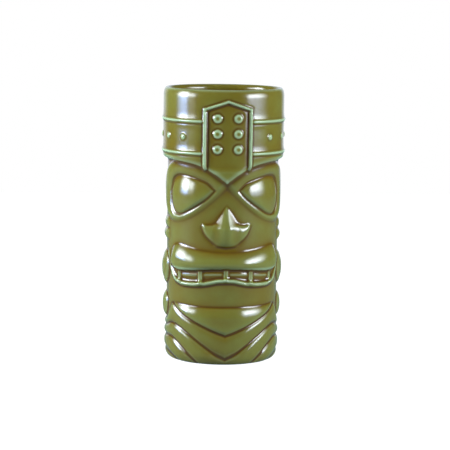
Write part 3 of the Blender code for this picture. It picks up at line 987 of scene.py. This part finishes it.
def glazeMaterial():
    material = bpy.data.materials.new("oliveGlaze")
    material.use_nodes = True
    tree = material.node_tree
    shader = tree.nodes["Principled BSDF"]
    clouds = cloudNoise(tree, glaze["clouds"], glaze["cloudDetail"], glaze["cloudRange"])
    specks = cloudNoise(tree, glaze["specks"], glaze["speckDetail"], glaze["speckRange"])
    deepness = layerOf(tree, "depth")
    amber = rampOf(tree, deepness, glaze["amberDepth"])
    leaf = multiply(tree, rampOf(tree, deepness, glaze["leafDepth"]), glaze["leafShare"])
    # each coat lies over the ones before it
    coats = [(multiply(tree, clouds, glaze["cloudShare"]), glaze["leaf"]),
             (amber, glaze["amber"]),
             (leaf, glaze["leaf"]),
             (multiply(tree, specks, glaze["speckShare"]), glaze["amber"]),
             (layerOf(tree, "pooled"), glaze["crease"]),
             (layerOf(tree, "thin"), glaze["celadon"])]
    colour = glaze["olive"]
    for amount, coat in coats:
        colour = mixColour(tree, amount, colour, coat)
    tree.links.new(colour, shader.inputs["Base Color"])
    shader.inputs["Roughness"].default_value = glaze["roughness"]
    shader.inputs["IOR"].default_value = glaze["glassiness"]
    ripple = tree.nodes.new("ShaderNodeBump")
    ripple.inputs["Strength"].default_value = glaze["ripple"]
    ripple.inputs["Distance"].default_value = glaze["rippleHeight"]
    ripples = cloudNoise(tree, glaze["ripples"], glaze["rippleDetail"], (0.0, 1.0))
    tree.links.new(ripples, ripple.inputs["Height"])
    tree.links.new(ripple.outputs["Normal"], shader.inputs["Normal"])
    return material


def nodesNamed(*starts):
    return [node for node in sorted(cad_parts) if node.startswith(starts)]


oliveGlaze = glazeMaterial()
cuts = {"beard": 36.0, "mouth": 76.0, "face": 125.0}  # heights where one band meets the next
makeBand("crownBand", cuts["face"], None, oliveGlaze,
         nodesNamed("upper_hoop", "lower_hoop", "band_stud", "forehead", "plaque"))
makeBand("faceBand", cuts["mouth"], cuts["face"], oliveGlaze,
         nodesNamed("brow", "eye", "nose", "nostril", "ear_fold"))
makeBand("mouthBand", cuts["beard"], cuts["mouth"], oliveGlaze,
         nodesNamed("upper_lip", "lower_lip", "tooth", "ear_disc"))
makeBand("beardBand", None, cuts["beard"], oliveGlaze,
         nodesNamed("chin", "beard", "lobe", "vessel"))


# table, backdrop and light

studio = {
    "tableSize": 1.8,
    "tableColour": (0.16, 0.16, 0.165),
    "tableRoughness": 0.9,
    "tableGlow": 1.0,          # white to the eye, while the mug hardly catches it
    "tableSheen": (0.12, 0.27, 0.26),  # what the glaze mirrors of it
    "frontRoom": (0.10, 0.10, 0.10),
    "backRoom": (0.95, 1.05, 1.25),
    "backFrom": (0.70, 0.93),
    "ceiling": (0.25, 0.25, 0.25),
    "ceilingFrom": (0.5, 0.95),
    "white": (1.0, 1.0, 1.0),
}


def makeTable():
    mesh = bpy.data.meshes.new("table")
    half = studio["tableSize"] / 2
    mesh.from_pydata([(-half, -half, 0), (half, -half, 0), (half, half, 0), (-half, half, 0)],
                     [], [(0, 1, 2, 3)])
    material = bpy.data.materials.new("tablePaper")
    material.use_nodes = True
    tree = material.node_tree
    shader = tree.nodes["Principled BSDF"]
    shader.inputs["Base Color"].default_value = (*studio["tableColour"], 1.0)
    shader.inputs["Roughness"].default_value = studio["tableRoughness"]
    shader.inputs["Specular IOR Level"].default_value = 0.0
    path = tree.nodes.new("ShaderNodeLightPath")
    seen = path.outputs["Is Camera Ray"]
    mirrored = path.outputs["Is Glossy Ray"]
    tree.links.new(mixColour(tree, seen, studio["tableSheen"], studio["white"]),
                   shader.inputs["Emission Color"])
    glow = tree.nodes.new("ShaderNodeMath")
    tree.links.new(multiply(tree, seen, studio["tableGlow"]), glow.inputs[0])
    tree.links.new(mirrored, glow.inputs[1])
    tree.links.new(glow.outputs[0], shader.inputs["Emission Strength"])
    mesh.materials.append(material)
    table = bpy.data.objects.new("table", mesh)
    bpy.context.scene.collection.objects.link(table)


def softRamp(tree, source, low, high, first=0.0, second=1.0):
    ramp = tree.nodes.new("ShaderNodeMapRange")
    ramp.interpolation_type = "SMOOTHSTEP"
    ends = {"From Min": low, "From Max": high, "To Min": first, "To Max": second}
    for label, value in ends.items():
        ramp.inputs[label].default_value = value
    tree.links.new(source, ramp.inputs["Value"])
    return ramp.outputs["Result"]


def makeSky():
    # dark room in front, bright cool wall behind, dim ceiling; white where it is seen directly
    world = bpy.data.worlds.new("studioSky")
    bpy.context.scene.world = world
    world.use_nodes = True
    tree = world.node_tree
    place = tree.nodes.new("ShaderNodeTexCoord")
    split = tree.nodes.new("ShaderNodeSeparateXYZ")
    tree.links.new(place.outputs["Generated"], split.inputs[0])
    behind = softRamp(tree, split.outputs["Y"], *studio["backFrom"])
    overhead = softRamp(tree, split.outputs["Z"], *studio["ceilingFrom"])
    room = mixColour(tree, behind, studio["frontRoom"], studio["backRoom"])
    room = mixColour(tree, overhead, room, studio["ceiling"])
    path = tree.nodes.new("ShaderNodeLightPath")
    room = mixColour(tree, path.outputs["Is Camera Ray"], room, studio["white"])
    tree.links.new(room, tree.nodes["Background"].inputs["Color"])


def makeSoftBox(name, box):
    # brightness is what the box looks like, white paper being 1; it fades to its edges
    data = bpy.data.lights.new(name, "AREA")
    data.shape = "RECTANGLE"
    data.size = box["wide"]
    data.size_y = box["high"] - box["low"]
    data.energy = box["brightness"] * math.pi * data.size * data.size_y
    data.use_nodes = True
    tree = data.node_tree
    spot = tree.nodes.new("ShaderNodeNewGeometry")
    split = tree.nodes.new("ShaderNodeSeparateXYZ")
    tree.links.new(spot.outputs["Parametric"], split.inputs[0])
    across = split.outputs["X"]
    upward = split.outputs["Y"]
    rightSide, leftSide, bottom, top = box["fades"]
    fade = multiply(tree, softRamp(tree, across, 0.0, rightSide),
                    softRamp(tree, across, 1.0 - leftSide, 1.0, 1.0, 0.0))
    fade = multiply(tree, fade, softRamp(tree, upward, 0.0, bottom))
    fade = multiply(tree, fade, softRamp(tree, upward, 1.0 - top, 1.0, 1.0, 0.0))
    start, end = [(height - box["low"]) / data.size_y for height in box["lowPart"]]
    climb = softRamp(tree, upward, start, end, box["lowShare"], 1.0)
    lit = tree.nodes["Emission"]
    tree.links.new(multiply(tree, fade, climb), lit.inputs["Strength"])
    tint = mixColour(tree, softRamp(tree, upward, start, end), box["lowColour"],
                     box["highColour"])
    tree.links.new(tint, lit.inputs["Color"])
    lamp = bpy.data.objects.new(name, data)
    bpy.context.scene.collection.objects.link(lamp)
    turn = math.radians(box["angle"])
    lamp.location = (math.sin(turn) * box["away"], -math.cos(turn) * box["away"],
                     (box["low"] + box["high"]) / 2)
    lamp.rotation_euler = (math.pi / 2, 0, turn)


softBoxes = {
    # angle is round the mug from its face, away, wide, low and high are in metres
    # lowPart is the heights between which the low share and colour give way to the high
    # fades are the right, left, bottom and top edge as the mug sees them, as shares of the box
    "leftSoftBox": {"angle": -89, "away": 0.80, "wide": 0.47, "low": 0.084, "high": 0.68,
                    "brightness": 40.0, "lowShare": 0.64, "lowPart": (0.14, 0.22),
                    "fades": (0.62, 0.22, 0.044, 0.72),
                    "lowColour": (0.36, 0.52, 1.0), "highColour": (0.84, 0.92, 1.0)},
    "leftFill": {"angle": -66, "away": 0.80, "wide": 0.32, "low": 0.078, "high": 0.56,
                 "brightness": 20.0, "lowShare": 0.16, "lowPart": (0.15, 0.25),
                 "fades": (0.3, 0.5, 0.07, 0.62),
                 "lowColour": (0.8, 0.88, 1.0), "highColour": (0.84, 0.92, 1.0)},
    "rightSoftBox": {"angle": 63, "away": 0.80, "wide": 0.76, "low": 0.080, "high": 0.56,
                     "brightness": 26.0, "lowShare": 0.36, "lowPart": (0.14, 0.22),
                     "fades": (0.14, 0.62, 0.055, 0.62),
                     "lowColour": (0.62, 0.72, 1.0), "highColour": (0.84, 0.92, 1.0)},
}

makeTable()
makeSky()
for boxName, softBox in softBoxes.items():
    makeSoftBox(boxName, softBox)
bpy.context.scene.view_settings.view_transform = "Standard"
print("table and lights set")
